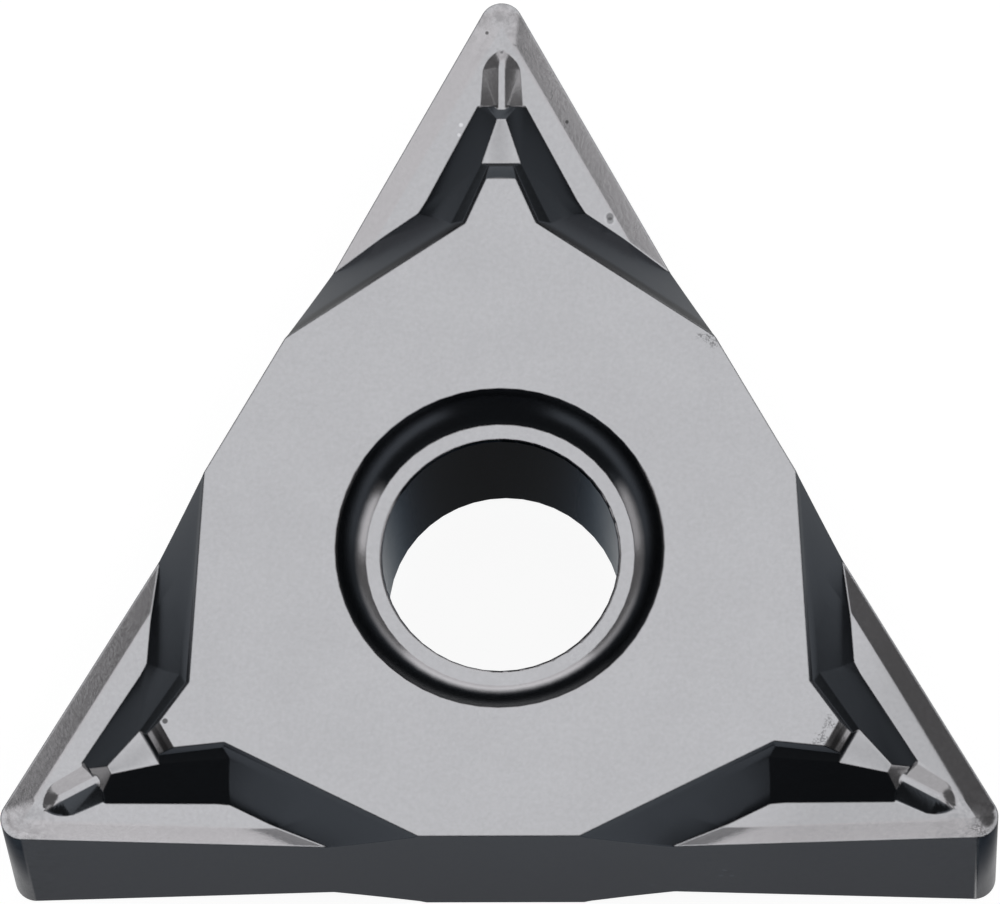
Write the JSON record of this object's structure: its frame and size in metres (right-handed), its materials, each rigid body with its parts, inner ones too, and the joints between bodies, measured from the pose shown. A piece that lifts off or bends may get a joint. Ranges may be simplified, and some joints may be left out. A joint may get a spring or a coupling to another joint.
{
  "type": "carbide insert",
  "caption": "Triangular turning insert of sintered carbide, with a clamping hole through the middle and a moulded chipbreaker behind each cutting edge.",
  "frame": {"origin": "centre of the clamping hole, halfway through the thickness", "axes": "+Z along the hole, square to the clamping faces; +Y towards one nose; X along the side opposite that nose"},
  "size_m": [0.016, 0.014, 0.0048],
  "materials": {
    "insert": "satin grey coating on sintered carbide, darker on the flanks and breaker walls"
  },
  "bodies": {
    "root": {"insert": "insert"}
  },
  "joints": []
}
